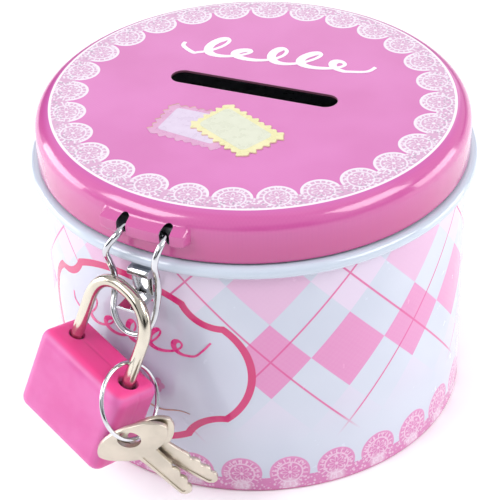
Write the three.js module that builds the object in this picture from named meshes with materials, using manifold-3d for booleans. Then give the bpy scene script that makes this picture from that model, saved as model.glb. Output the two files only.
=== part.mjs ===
// Round tin money box with a hinged lid, wire hasp, small covered padlock and two keys.
// Millimetres, +Z up. Origin: centre of the flat underside. The coin slot runs along X.
import * as THREE from 'three';
import { mergeVertices } from 'three/addons/utils/BufferGeometryUtils.js';
import Module from 'manifold-3d';

const wasm = await Module();
wasm.setup();

// ---------------------------------------------------------------- driving dimensions
const SHEET = 0.5;            // sheet thickness used for the tinplate walls
const WALL_R = 40.0;          // outer radius of the body wall
const BEAD_R = 41.9;          // outer radius of the stop bead under the lid
const BEAD_Z0 = 49.5, BEAD_Z1 = 51.9;
const NECK_R = 39.0;          // plug-in neck that the lid drops over
const NECK_Z = 57.3;
const BASE_T = 0.6;
const SEG = 60;               // facets round the shells

const LID_R = 40.48;          // outer radius of the lid skirt
const LID_Z0 = 52.2;          // lower edge of the skirt
const LID_TOP = 61.5;
const LID_CORNER = 3.5;       // shoulder radius
const LID_PANEL_R = 36.98;

const SLOT_L = 32.9, SLOT_W = 4.6, SLOT_X = -0.9, SLOT_Y = 2.8;

const HASP_TURN = -6.3;       // degrees: the hasp stands this far round from the slot's normal
const WIRE_D = 1.2;
const BAR_Y = -40.75, BAR_Z = 57.0;          // axis of the hasp wire in the lid's rib
const LEG_XL = -3.5, LEG_XR = 4.9;

const STRAP_W = 4.2, STRAP_T = 0.6, STRAP_X = -0.8;          // staple strap
const HINGE_Y = 44.2, HINGE_Z = 51.0;        // hinge pin axis, behind the box
const PIN_D = 1.5, KNUCKLE_D = 3.3;

const LOCK_POS = [-1.3, -45.35, 46.75];        // crown of the shackle, in the hasp's frame
const LOCK_YAW = -15.0, LOCK_LEAN = 13.0, LOCK_ROLL = 14.5;
const SH_S = 14.0, SH_D = 2.3;               // leg spacing and bar diameter
const TOP_Z = -15.6;                         // top of the padlock cover below the crown
const COVER_W = 21.8, COVER_D = 10.4, COVER_H = 17.9, COVER_X = -0.4, COVER_T = 1.3;

const RING_R = 6.7, RING_WIRE = 0.8;
const KEY_T = 0.9, KEY_HOLE = 4.2;

// ---------------------------------------------------------------- helpers
const rad = THREE.MathUtils.degToRad;
function solid(g) {
  let c = g.clone();
  c.deleteAttribute('normal'); c.deleteAttribute('uv');
  c = mergeVertices(c, 1e-4);
  return new wasm.Manifold(new wasm.Mesh({
    numProp: 3,
    vertProperties: new Float32Array(c.attributes.position.array),
    triVerts: new Uint32Array(c.index.array),
  }));
}
function geom(m) {
  const k = m.getMesh();
  const g = new THREE.BufferGeometry();
  g.setAttribute('position', new THREE.BufferAttribute(new Float32Array(k.vertProperties), 3));
  g.setIndex(new THREE.BufferAttribute(new Uint32Array(k.triVerts), 1));
  g.computeVertexNormals();
  return g;
}
const V2 = (a) => a.map((p) => new THREE.Vector2(p[0], p[1]));
// LatheGeometry turns about Y; this stands its axis along Z. Profile: [radius, z] pairs, closed on itself or on the axis.
function lathe(profile, seg) {
  const g = new THREE.LatheGeometry(V2(profile), seg);
  g.rotateX(Math.PI / 2);
  return g;
}
function box(w, d, h, x = 0, y = 0, z = 0) { const g = new THREE.BoxGeometry(w, d, h); g.translate(x, y, z); return g; }
function cyl(r, h, axis = 'z', seg = 24) {
  const g = new THREE.CylinderGeometry(r, r, h, seg);
  if (axis === 'z') g.rotateX(Math.PI / 2);
  if (axis === 'x') g.rotateZ(Math.PI / 2);
  return g;
}
function at(g, x, y, z) { g.translate(x, y, z); return g; }
function stadium(l, w, seg = 10) {
  const s = new THREE.Shape(), r = w / 2, h = l / 2 - r;
  s.moveTo(-h, -r); s.lineTo(h, -r); s.absarc(h, 0, r, -Math.PI / 2, Math.PI / 2, false);
  s.lineTo(-h, r); s.absarc(-h, 0, r, Math.PI / 2, Math.PI * 1.5, false);
  return s;
}
function rrect(w, h, r) {
  const s = new THREE.Shape(), a = w / 2, b = h / 2;
  s.moveTo(-a + r, -b); s.lineTo(a - r, -b); s.absarc(a - r, -b + r, r, -Math.PI / 2, 0, false);
  s.lineTo(a, b - r); s.absarc(a - r, b - r, r, 0, Math.PI / 2, false);
  s.lineTo(-a + r, b); s.absarc(-a + r, b - r, r, Math.PI / 2, Math.PI, false);
  s.lineTo(-a, -b + r); s.absarc(-a + r, -b + r, r, Math.PI, Math.PI * 1.5, false);
  return s;
}
function ext(shape, depth, seg = 6, o = {}) {
  return new THREE.ExtrudeGeometry(shape, { depth, curveSegments: seg, bevelEnabled: false, steps: 1, ...o });
}
function ring8(r, n) {
  const s = new THREE.Shape();
  for (let i = 0; i < n; i++) { const a = (i / n) * 2 * Math.PI; i ? s.lineTo(r * Math.cos(a), r * Math.sin(a)) : s.moveTo(r, 0); }
  s.closePath();
  return s;
}
// A rod along a rounded polyline: corners are replaced by short arcs of the given radius.
class Route extends THREE.Curve {
  constructor(pts, r) {
    super();
    const P = pts.map((p) => new THREE.Vector3(...p)), out = [P[0].clone()];
    for (let i = 1; i < P.length - 1; i++) {
      const a = P[i - 1].clone().sub(P[i]), b = P[i + 1].clone().sub(P[i]);
      const la = a.length(), lb = b.length(); a.normalize(); b.normalize();
      const t = Math.min(r, la * 0.45, lb * 0.45);
      const s = P[i].clone().addScaledVector(a, t), e = P[i].clone().addScaledVector(b, t);
      for (let k = 0; k <= 5; k++) {
        const u = k / 5;
        out.push(s.clone().multiplyScalar((1 - u) * (1 - u)).addScaledVector(P[i], 2 * u * (1 - u)).addScaledVector(e, u * u));
      }
    }
    out.push(P[P.length - 1].clone());
    this.p = out; this.l = [0];
    for (let i = 1; i < out.length; i++) this.l.push(this.l[i - 1] + out[i].distanceTo(out[i - 1]));
  }
  getPoint(t) {
    const L = t * this.l[this.l.length - 1];
    let i = 1; while (i < this.l.length - 1 && this.l[i] < L) i++;
    const u = Math.min(1, Math.max(0, (L - this.l[i - 1]) / (this.l[i] - this.l[i - 1])));
    return this.p[i - 1].clone().lerp(this.p[i], u);
  }
}
function rod(curve, d, steps, n = 8) {
  return new THREE.ExtrudeGeometry(ring8(d / 2, n), { extrudePath: curve, steps, bevelEnabled: false, curveSegments: 1 });
}
class Helix extends THREE.Curve {
  constructor(r, pitch, turns) { super(); Object.assign(this, { r, pitch, turns }); }
  getPoint(t) { const a = t * this.turns * 2 * Math.PI; return new THREE.Vector3(this.r * Math.cos(a), this.r * Math.sin(a), t * this.turns * this.pitch); }
}
const finishes = {
  pink_tin: { color: 0xe9559f, roughness: 0.22, metalness: 0.1 },
  printed_tin: { color: 0xe6dcec, roughness: 0.28, metalness: 0.1 },
  bare_tin: { color: 0xc9c9cc, roughness: 0.35, metalness: 1.0 },
  chrome: { color: 0xd8d8da, roughness: 0.12, metalness: 1.0 },
  nickel: { color: 0xcfc9bd, roughness: 0.3, metalness: 1.0 },
  pink_vinyl: { color: 0xf06ab4, roughness: 0.45, metalness: 0.0 },
  brass: { color: 0xc8a44c, roughness: 0.35, metalness: 1.0 },
  spring_steel: { color: 0x9a9a9e, roughness: 0.4, metalness: 1.0 },
};
const mats = {};
for (const [k, v] of Object.entries(finishes)) mats[k] = new THREE.MeshStandardMaterial({ name: k, ...v });
function add(parent, name, g, mat) {
  const m = new THREE.Mesh(g.isBufferGeometry ? g : geom(g), mats[mat]);
  m.name = name; parent.add(m); return m;
}

const tin = new THREE.Group();
const hasp = new THREE.Group();               // everything at the front and the hinge behind it
hasp.rotation.z = rad(HASP_TURN);
tin.add(hasp);

// Pieces of the round shells are cut in the hasp's frame and then turned back to the slot's frame.
const toHasp = (g) => { g.rotateZ(rad(HASP_TURN)); return g; };

// ---------------------------------------------------------------- body
{
  const i = WALL_R - SHEET, bz = (BEAD_Z0 + BEAD_Z1) / 2, br = (BEAD_Z1 - BEAD_Z0) / 2;
  const out = [[WALL_R, 0], [WALL_R, BEAD_Z0]];
  for (let k = 0; k <= 6; k++) { const a = -Math.PI / 2 + (k / 6) * Math.PI; out.push([BEAD_R - br + br * Math.cos(a), bz + br * Math.sin(a)]); }
  out.push([NECK_R, BEAD_Z1], [NECK_R, NECK_Z], [NECK_R - SHEET, NECK_Z], [NECK_R - SHEET, BEAD_Z1 - 0.5], [i, BEAD_Z0 - 0.6], [i, 0], [WALL_R, 0]);
  let m = solid(lathe(out, SEG));
  // two slits in the wall for the staple's prongs, and two rivet holes behind
  for (const z of [47.9, 42.3]) m = m.subtract(solid(toHasp(box(STRAP_W + 0.8, 4, 1.3, STRAP_X, -WALL_R, z))));
  for (const x of [-4, 4]) m = m.subtract(solid(toHasp(at(cyl(1.1, 6, 'y', 12), x, WALL_R - 1, 42))));
  add(tin, 'body_wall', m, 'printed_tin');
  add(tin, 'base_panel', lathe([[0, 0], [WALL_R - SHEET - 0.35, 0], [WALL_R - SHEET - 0.35, BASE_T], [0, BASE_T]], SEG), 'bare_tin');
}

// ---------------------------------------------------------------- lid
{
  const p = [[0, LID_TOP], [LID_PANEL_R, LID_TOP]];
  for (let k = 1; k <= 5; k++) { const a = Math.PI / 2 - (k / 5) * Math.PI / 2; p.push([LID_PANEL_R + LID_CORNER * Math.cos(a), LID_TOP - LID_CORNER + LID_CORNER * Math.sin(a)]); }
  p.push([LID_R, LID_Z0], [LID_R - SHEET, LID_Z0]);
  const rr = LID_CORNER - SHEET;
  for (let k = 0; k <= 4; k++) { const a = (k / 4) * Math.PI / 2; p.push([LID_PANEL_R + rr * Math.cos(a), LID_TOP - LID_CORNER + rr * Math.sin(a)]); }
  p.push([0, LID_TOP - SHEET]);
  let m = solid(lathe(p.reverse(), SEG));
  // embossed rib over the hasp wire, hollow behind
  const rib = ext(stadium(17.2, 3.4, 6), 3.6, 6); rib.rotateX(Math.PI / 2);    // extrudes towards -Y
  m = m.add(solid(toHasp(at(rib, 0, -38.7, BAR_Z))));
  const pocket = ext(stadium(16.2, 2.4, 6), 4.0, 6); pocket.rotateX(Math.PI / 2);
  m = m.subtract(solid(toHasp(at(pocket, 0, -37.8, BAR_Z))));
  const inner = cyl(LID_R - SHEET, LID_TOP - LID_CORNER - LID_Z0 + 1, 'z', SEG);
  m = m.subtract(solid(at(inner, 0, 0, (LID_TOP - LID_CORNER + LID_Z0 - 1) / 2)));
  for (const x of [LEG_XL, LEG_XR]) m = m.subtract(solid(toHasp(box(2.1, 6, 5.6, x, -41.5, 56.6))));
  for (const x of [-4, 4]) m = m.subtract(solid(toHasp(at(cyl(1.1, 6, 'y', 12), x, WALL_R, 56.3))));
  const slot = ext(stadium(SLOT_L, SLOT_W, 8), 6, 8);
  m = m.subtract(solid(at(slot, SLOT_X, SLOT_Y, LID_TOP - 4)));
  add(tin, 'lid_shell', m, 'pink_tin');
}

// ---------------------------------------------------------------- hinge behind the box
{
  const kr = KNUCKLE_D / 2, pr = PIN_D / 2;
  const knuckle = (x, l) => { let k = solid(at(cyl(kr, l, 'x', 24), x, HINGE_Y, HINGE_Z)); return k; };
  const bore = solid(at(cyl(pr + 0.3, 30, 'x', 24), 0, HINGE_Y, HINGE_Z));
  // body leaf: plate on the wall, arm out below the bead, two outer knuckles
  let b = solid(box(13, 0.7, 8.0, 0, WALL_R + 0.65, 42.5));
  b = b.add(solid(box(13, 4.4, 0.7, 0, WALL_R + 2.5, 46.5)));
  for (const x of [-4.75, 4.75]) { b = b.add(solid(box(3.5, 0.8, 4.6, x, HINGE_Y + 0.6, 48.6))); b = b.add(knuckle(x, 3.5)); }
  b = b.subtract(bore);
  for (const x of [-4, 4]) b = b.subtract(solid(at(cyl(1.1, 6, 'y', 12), x, WALL_R, 42)));
  add(hasp, 'hinge_leaf_body', b, 'chrome');
  // lid leaf: plate on the skirt, arm out above the bead, one middle knuckle
  let l = solid(box(13, 0.7, 4.6, 0, LID_R + 0.65, 56.0));
  l = l.add(solid(box(5.2, 3.9, 0.8, 0, LID_R + 2.2, 53.4)));
  l = l.add(solid(box(5.2, 0.9, 2.2, 0, HINGE_Y - 0.5, 52.8)));
  l = l.add(knuckle(0, 5.2));
  l = l.subtract(bore);
  for (const x of [-4, 4]) l = l.subtract(solid(at(cyl(1.1, 6, 'y', 12), x, WALL_R, 56.3)));
  add(hasp, 'hinge_leaf_lid', l, 'chrome');
  add(hasp, 'hinge_pin', at(cyl(pr, 14.4, 'x', 20), 0, HINGE_Y, HINGE_Z), 'chrome');
  const rivet = (y0, y1, h = 0.55) => {          // head outside, shank, clenched head inside
    const pr2 = 0.8;
    const g = new THREE.LatheGeometry(V2([[0, y0 - h], [1.5, y0 - h], [1.5, y0], [pr2, y0], [pr2, y1], [1.7, y1], [1.3, y1 + 0.6], [0, y1 + 0.8]]), 12);
    return g;
  };
  const names = ['left', 'right'];
  [-4, 4].forEach((x, i) => {
    add(hasp, `hinge_rivet_body_${names[i]}`, at(rivet(WALL_R - SHEET - 0.6, WALL_R + 1.3), x, 0, 42), 'nickel');
    add(hasp, `hinge_rivet_lid_${names[i]}`, at(rivet(LID_R - SHEET - 0.45, LID_R + 1.3, 0.25), x, 0, 56.3), 'nickel');
  });
}

// ---------------------------------------------------------------- staple on the front of the body
{
  const y0 = -(WALL_R + 0.35), yo = y0 - STRAP_T, s = new THREE.Shape();   // outline in the (y, z) plane, extruded across X
  s.moveTo(y0, 42.6); s.lineTo(y0 + 1.75, 42.6); s.lineTo(y0 + 1.75, 42.0); s.lineTo(yo + 0.1, 42.0); s.lineTo(yo, 42.2);
  s.lineTo(yo, 42.9); s.lineTo(-45.9, 42.9); s.lineTo(-46.6, 43.2); s.lineTo(-46.5, 43.7); s.lineTo(-45.9, 43.45); s.lineTo(yo, 43.45);
  s.lineTo(yo, 47.3); s.lineTo(-42.0, 47.5); s.lineTo(-42.45, 48.0); s.lineTo(-42.45, 48.6); s.lineTo(-42.0, 49.1); s.lineTo(y0, 49.1);
  s.lineTo(y0, 48.2); s.lineTo(y0 + 1.75, 48.2); s.lineTo(y0 + 1.75, 47.6); s.lineTo(y0, 47.6); s.closePath();
  const g = ext(s, STRAP_W, 1);
  g.translate(0, 0, -STRAP_W / 2 + STRAP_X);
  g.applyMatrix4(new THREE.Matrix4().makeBasis(new THREE.Vector3(0, 1, 0), new THREE.Vector3(0, 0, 1), new THREE.Vector3(1, 0, 0)));
  add(hasp, 'staple', g, 'chrome');
}

// ---------------------------------------------------------------- hasp wire
{
  const pts = [[0.9, BAR_Y, BAR_Z], [LEG_XR, BAR_Y, BAR_Z], [LEG_XR, -43.4, 56.6], [4.3, -44.9, 53.8], [4.0, -43.4, 48.6], [3.9, -43.6, 45.4],
    [3.6, -45.2, 41.2], [1.6, -46.2, 38.2], [-2.2, -46.2, 38.2], [-4.6, -45.2, 41.0], [-5.5, -42.5, 44.0], [-5.5, -42.25, 47.4], [-5.5, -44.9, 53.6], [LEG_XL, -43.4, 56.6], [LEG_XL, BAR_Y, BAR_Z], [0.5, BAR_Y, BAR_Z]];
  add(hasp, 'hasp_wire', rod(new Route(pts, 1.2), WIRE_D, 68, 8), 'chrome');
}

// ---------------------------------------------------------------- padlock, in its own frame: X along the leg spacing, Z up the legs, origin at the crown
const lock = new THREE.Group();
{
  const out0 = new THREE.Vector3(0, -1, 0).applyAxisAngle(new THREE.Vector3(0, 0, 1), rad(LOCK_YAW));
  const w0 = new THREE.Vector3(1, 0, 0).applyAxisAngle(new THREE.Vector3(0, 0, 1), rad(LOCK_YAW));
  const h0 = new THREE.Vector3(0, 0, -1), l = rad(LOCK_LEAN), r = rad(LOCK_ROLL);
  const h1 = h0.clone().multiplyScalar(Math.cos(l)).addScaledVector(out0, Math.sin(l));
  const d1 = out0.clone().multiplyScalar(Math.cos(l)).addScaledVector(h0, -Math.sin(l));
  const w2 = w0.clone().multiplyScalar(Math.cos(r)).addScaledVector(h1, Math.sin(r));
  const h2 = h1.clone().multiplyScalar(Math.cos(r)).addScaledVector(w0, -Math.sin(r));
  lock.quaternion.setFromRotationMatrix(new THREE.Matrix4().makeBasis(w2, d1.clone().negate(), h2.clone().negate()));
  lock.position.set(...LOCK_POS);
  hasp.add(lock);
}
const HALF = SH_S / 2, SR = SH_D / 2;
const CASE_TOP = TOP_Z - COVER_T - 0.3, CASE_BOT = TOP_Z - COVER_H + 1.1;
const TOE_Z = TOP_Z - 4.6, HEEL_Z = TOP_Z - 10.0, LATCH_Z = TOP_Z - 3.2, PLUG_TOP = TOP_Z - 6.2;
{
  // shackle: two legs and a round bow, notched on the inside of its short leg
  const pts = []; pts.push([-HALF, 0, HEEL_Z], [-HALF, 0, -HALF - 1]);
  for (let k = 0; k <= 12; k++) { const a = Math.PI - (k / 12) * Math.PI; pts.push([HALF * Math.cos(a), 0, -HALF + HALF * Math.sin(a)]); }
  pts.push([HALF, 0, -HALF - 1], [HALF, 0, TOE_Z]);
  let m = solid(rod(new Route(pts, 0.4), SH_D, 44, 10));
  const n = new THREE.Shape(); n.moveTo(HALF - 0.25, LATCH_Z + 1.1); n.lineTo(HALF - 0.25, LATCH_Z - 0.8); n.lineTo(HALF - 0.8, LATCH_Z - 1.45); n.lineTo(HALF - 2, LATCH_Z - 1.45); n.lineTo(HALF - 2, LATCH_Z + 1.1); n.closePath();
  const ng = ext(n, 4, 1); ng.translate(0, 0, -2); ng.rotateX(Math.PI / 2);
  m = m.subtract(solid(ng));
  add(lock, 'shackle', m, 'nickel');

  // soft cover over the case: rounded block, open below
  const bev = 2.0;
  const g = ext(rrect(COVER_W - 2 * bev, COVER_D - 2 * bev, 2.2), COVER_H - 2 * bev, 4, { bevelEnabled: true, bevelThickness: bev, bevelSize: bev, bevelSegments: 3 });
  g.translate(COVER_X, 0, TOP_Z - COVER_H + bev);
  let c = solid(g);
  const CW = COVER_W - 2 * COVER_T, CD = COVER_D - 2 * COVER_T;
  c = c.subtract(solid(box(CW, CD, COVER_H, COVER_X, 0, TOP_Z - COVER_T - COVER_H / 2)));
  c = c.subtract(solid(at(cyl(1.55, 6, 'z', 20), -HALF, 0, TOP_Z)));
  c = c.subtract(solid(at(cyl(2.3, 6, 'z', 20), HALF, 0, TOP_Z)));
  add(lock, 'padlock_cover', c, 'pink_vinyl');

  // metal case with its bores
  const w = CW - 0.6, d = CD - 0.6, h = CASE_TOP - CASE_BOT;
  let k = solid(box(w, d, h, COVER_X, 0, (CASE_TOP + CASE_BOT) / 2));
  k = k.subtract(solid(at(cyl(1.5, 20, 'z', 20), -HALF, 0, CASE_TOP - 11.2 + 10)));
  k = k.subtract(solid(at(cyl(1.5, 20, 'z', 20), HALF, 0, TOE_Z - 0.5 + 10)));
  k = k.subtract(solid(at(cyl(2.7, 20, 'z', 28), 0, 0, PLUG_TOP + 0.4 - 10)));       // plug bore, open below
  k = k.subtract(solid(box(HALF + 2.2, 2.4, 2.0, (HALF - 2.2) / 2, 0, LATCH_Z)));  // latch way
  add(lock, 'padlock_case', k, 'nickel');
  // end plate with a round opening for the key plug
  let e = solid(box(w, d, 0.6, COVER_X, 0, CASE_BOT - 0.6));
  e = e.subtract(solid(at(cyl(1.9, 4, 'z', 24), 0, 0, CASE_BOT)));
  add(lock, 'padlock_end_plate', e, 'nickel');
  // key plug: shouldered barrel with a key slot from below
  let q = solid(lathe([[0, CASE_BOT - 0.8], [1.6, CASE_BOT - 0.8], [1.6, CASE_BOT], [2.4, CASE_BOT], [2.4, PLUG_TOP], [0, PLUG_TOP]], 24));
  q = q.subtract(solid(box(0.9, 2.8, 12, 0, 0, CASE_BOT - 1.5)));
  add(lock, 'key_plug', q, 'brass');
  // latch bolt and its spring
  add(lock, 'latch_bolt', box(5.0, 1.8, 1.4, HALF - 0.6 - 2.5, 0, LATCH_Z), 'brass');
  const ls = rod(new Helix(0.45, 0.4, 3), 0.22, 30, 6); ls.rotateY(Math.PI / 2); ls.translate(-2.05, 0, LATCH_Z);
  add(lock, 'latch_spring', ls, 'spring_steel');
  const ss = rod(new Helix(0.95, 0.48, 3), 0.3, 36, 6); ss.translate(-HALF, 0, HEEL_Z - 2.05);
  add(lock, 'shackle_spring', ss, 'spring_steel');
}

// ---------------------------------------------------------------- key ring and keys, in the hasp's frame
{
  // the ring hangs round the shackle's short leg; e1 across, e2 down the ring's plane
  const leg = new THREE.Vector3(HALF, 0, TOP_Z + 1.4).applyQuaternion(lock.quaternion).add(lock.position);
  const e2 = new THREE.Vector3(0.25, -0.58, -0.775).normalize();
  const e1 = new THREE.Vector3(0.2657, 0.9147, -0.307);
  e1.addScaledVector(e2, -e1.dot(e2)).normalize();
  const c = leg.clone().addScaledVector(e2, 4.3);
  const N = 40, R = RING_R;
  class Loop extends THREE.Curve { getPoint(t) { const a = -Math.PI / 2 + 0.03 + t * (2 * Math.PI - 0.09); return c.clone().addScaledVector(e1, R * Math.cos(a)).addScaledVector(e2, R * Math.sin(a)); } }
  add(hasp, 'key_ring', rod(new Loop(), RING_WIRE, N, 6), 'chrome');
  // flat keys: lens-shaped bow with a hole, toothed blade. Local: bow along X, blade down -Z, thickness along Y
  const blade = (flip) => {
    const s = new THREE.Shape();
    s.moveTo(-7.4, 0.4); s.bezierCurveTo(-6.6, 3.0, -3.2, 3.9, 0, 3.9); s.bezierCurveTo(3.2, 3.9, 6.6, 3.0, 7.4, 0.4);
    s.bezierCurveTo(7.2, -1.6, 4.6, -3.2, 2.2, -3.6);
    const t = [[2.0, -6.0], [2.0, -8.6], [1.3, -9.3], [1.9, -10.1], [1.9, -11.2], [1.1, -12.0], [1.6, -12.9], [1.6, -13.8], [0.8, -14.6], [1.2, -15.4], [0.4, -16.6], [-0.8, -16.8], [-1.7, -16.0], [-1.8, -6.0], [-2.0, -3.6]];
    t.forEach((p) => s.lineTo(p[0], p[1]));
    s.bezierCurveTo(-4.6, -3.2, -7.2, -1.6, -7.4, 0.4);
    let k = solid(ext(s, KEY_T, 5));
    k = k.subtract(solid(at(cyl(KEY_HOLE / 2, 4, 'z', 18), 0, 1.2, 0)));
    const g = geom(k); g.translate(0, -1.2, -KEY_T / 2);
    if (flip) g.rotateY(Math.PI);
    return g;       // hole at the local origin, plane XY
  };
  const key = (name, a, ub, bl, off, flip) => {
    const U = new THREE.Vector3(...ub).normalize(), B = new THREE.Vector3(...bl); B.addScaledVector(U, -B.dot(U)).normalize();
    const Y = B.clone().negate(), Z = U.clone().cross(Y);
    const g = blade(flip);
    const p = c.clone().addScaledVector(e1, R * Math.cos(a)).addScaledVector(e2, R * Math.sin(a));
    const m = new THREE.Matrix4().makeBasis(U, Y, Z); m.setPosition(p.addScaledVector(Y, off));
    g.applyMatrix4(m);
    add(hasp, name, g, 'nickel');
  };
  const U = [0.793, 0.273, 0.548], B = [0.4363, 0.3700, -0.8150], t = rad(14);
  key('key_1', Math.PI / 2 - 0.07, U, B, 0.4, false);
  key('key_2', Math.PI / 2 - 0.40, U.map((v, i) => v * Math.cos(t) - B[i] * Math.sin(t)), B.map((v, i) => v * Math.cos(t) + U[i] * Math.sin(t)), 0.1, false);
}

export default tin;
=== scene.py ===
"""Round tin money box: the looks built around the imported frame. Helper sizes are in millimetres."""
import math

import bmesh
import bpy
import numpy as np
from mathutils import Matrix, Vector


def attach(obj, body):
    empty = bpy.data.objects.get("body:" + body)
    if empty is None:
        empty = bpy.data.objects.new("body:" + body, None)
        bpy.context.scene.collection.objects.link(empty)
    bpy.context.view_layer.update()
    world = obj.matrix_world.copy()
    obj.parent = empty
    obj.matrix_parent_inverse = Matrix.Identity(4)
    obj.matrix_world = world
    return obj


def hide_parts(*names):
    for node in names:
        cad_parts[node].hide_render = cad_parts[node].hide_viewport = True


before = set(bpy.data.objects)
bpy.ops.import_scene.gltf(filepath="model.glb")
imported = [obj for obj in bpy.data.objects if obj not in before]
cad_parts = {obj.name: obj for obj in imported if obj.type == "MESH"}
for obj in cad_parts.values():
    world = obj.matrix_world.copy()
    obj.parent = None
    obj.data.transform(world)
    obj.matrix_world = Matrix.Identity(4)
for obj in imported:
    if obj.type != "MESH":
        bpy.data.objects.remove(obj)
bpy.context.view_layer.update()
MM = 0.001
COL = bpy.context.scene.collection
rad = math.radians

# ------------------------------------------------------------------ sizes shared with the frame (mm)
WALL_R, BEAD_R, BEAD_Z0, BEAD_Z1, NECK_R, NECK_Z = 40.0, 41.9, 49.5, 51.9, 39.0, 57.3
LID_R, LID_Z0, LID_TOP, LID_CORNER, LID_PANEL_R = 40.48, 52.2, 61.5, 3.5, 36.98
SLOT_L, SLOT_W, SLOT_X, SLOT_Y = 32.9, 4.6, -0.9, 2.8
HASP_TURN = -6.3
BAR_Y, BAR_Z, LEG_XL, LEG_XR, WIRE_D = -40.75, 57.0, -3.5, 4.9, 1.2
HINGE_Y, HINGE_Z = 44.2, 51.0
LOCK_POS = Vector((-1.3, -45.35, 46.75))
SH_S, SH_D, TOP_Z = 14.0, 2.3, -15.6
COVER_W, COVER_D, COVER_H, COVER_X, COVER_T = 21.8, 10.4, 17.9, -0.4, 1.3
HALF = SH_S / 2
HEEL_Z, TOE_Z, LATCH_Z = TOP_Z - 10.0, TOP_Z - 4.6, TOP_Z - 3.2
RING_R, RING_WIRE, KEY_T, KEY_HOLE = 6.7, 0.8, 0.9, 4.2

HASP = Matrix.Rotation(rad(HASP_TURN), 4, "Z")


def lock_matrix():
    yaw, lean, roll = rad(-15.0), rad(13.0), rad(14.5)
    rz = Matrix.Rotation(yaw, 3, "Z")
    out0, w0, h0 = rz @ Vector((0, -1, 0)), rz @ Vector((1, 0, 0)), Vector((0, 0, -1))
    h1 = h0 * math.cos(lean) + out0 * math.sin(lean)
    d1 = out0 * math.cos(lean) - h0 * math.sin(lean)
    w2 = w0 * math.cos(roll) + h1 * math.sin(roll)
    h2 = h1 * math.cos(roll) - w0 * math.sin(roll)
    m = Matrix((w2, -d1, -h2)).transposed().to_4x4()
    m.translation = LOCK_POS
    return m


LOCK = HASP @ lock_matrix()


# ------------------------------------------------------------------ mesh helpers
def obj_from(name, verts, faces, mats=(), face_mats=None, matrix=None, smooth=30.0):
    """A mesh object from millimetre coordinates, put in place by matrix (also millimetres)."""
    m = bpy.data.meshes.new(name)
    m.from_pydata([tuple(v) for v in verts], [], [tuple(f) for f in faces])
    for mat in mats:
        m.materials.append(mat)
    if face_mats is not None:
        m.polygons.foreach_set("material_index", np.asarray(face_mats, np.int32))
    o = bpy.data.objects.new(name, m)
    COL.objects.link(o)
    place(o, matrix)
    finish_mesh(o, smooth)
    return o


def place(o, matrix=None):
    if matrix is not None:
        o.data.transform(matrix)
    o.data.transform(Matrix.Diagonal((MM, MM, MM, 1)))
    o.data.update()


def finish_mesh(o, smooth=30.0, weld=1e-7):
    bm = bmesh.new()
    bm.from_mesh(o.data)
    if weld:
        bmesh.ops.remove_doubles(bm, verts=bm.verts, dist=weld)
    bmesh.ops.recalc_face_normals(bm, faces=bm.faces)
    lim = rad(smooth)
    for f in bm.faces:
        f.smooth = True
    for e in bm.edges:
        e.smooth = not (len(e.link_faces) == 2 and e.calc_face_angle(0.0) > lim)
    bm.to_mesh(o.data)
    bm.free()
    o.data.update()


def put(o, body, node=None):
    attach(o, body)
    if node:
        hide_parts(*([node] if isinstance(node, str) else node))
    return o


def apply_modifiers(o):
    bpy.context.view_layer.update()
    dg = bpy.context.evaluated_depsgraph_get()
    new = bpy.data.meshes.new_from_object(o.evaluated_get(dg))
    old = o.data
    o.modifiers.clear()
    o.data = new
    bpy.data.meshes.remove(old)


def cut(o, cutters, op="DIFFERENCE", smooth=30.0):
    for c in cutters:
        md = o.modifiers.new("cut", "BOOLEAN")
        md.operation, md.solver, md.object = op, "EXACT", c
    apply_modifiers(o)
    for c in cutters:
        bpy.data.objects.remove(c)
    finish_mesh(o, smooth, weld=2e-7)


def revolve(name, profile, angles, mats, prof_mats=None, matrix=None, shape=None, smooth=30.0):
    """Turns a closed profile of (r, z) about Z. shape(r, phi, z, i) may move a point's radius."""
    n, m = len(profile), len(angles)
    verts = []
    for a in angles:
        for i, (r, z) in enumerate(profile):
            rr = shape(r, a, z, i) if shape else r
            verts.append((rr * math.sin(a), -rr * math.cos(a), z))
    faces, fm = [], []
    for j in range(m):
        k = (j + 1) % m
        for i in range(n):
            i2 = (i + 1) % n
            if profile[i][0] < 1e-9 and profile[i2][0] < 1e-9:
                continue
            f = [j * n + i, k * n + i, k * n + i2, j * n + i2]
            if profile[i][0] < 1e-9:
                f = [j * n + i, k * n + i2, j * n + i2]
            elif profile[i2][0] < 1e-9:
                f = [j * n + i, k * n + i, j * n + i2]
            faces.append(f)
            fm.append(prof_mats[i] if prof_mats else 0)
    return obj_from(name, verts, faces, mats, fm, matrix, smooth)


def rounded(pts, r, steps=10, radii=None):
    """A polyline with each corner replaced by a short smooth arc."""
    P = [Vector(p) for p in pts]
    out = [P[0]]
    for i in range(1, len(P) - 1):
        a, b = P[i - 1] - P[i], P[i + 1] - P[i]
        t = min(radii[i] if radii else r, a.length * 0.48, b.length * 0.48)
        s, e = P[i] + a.normalized() * t, P[i] + b.normalized() * t
        for k in range(steps + 1):
            u = k / steps
            out.append(s * (1 - u) ** 2 + P[i] * 2 * u * (1 - u) + e * u * u)
    out.append(P[-1])
    res = [out[0]]
    for p in out[1:]:
        if (p - res[-1]).length > 1e-4:
            res.append(p)
    return res


def resample(path, step):
    d = [0.0]
    for a, b in zip(path, path[1:]):
        d.append(d[-1] + (b - a).length)
    n = max(2, int(round(d[-1] / step)))
    arr = np.array([tuple(p) for p in path])
    t = np.linspace(0, d[-1], n + 1)
    return [Vector([np.interp(x, d, arr[:, k]) for k in range(3)]) for x in t]


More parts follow.
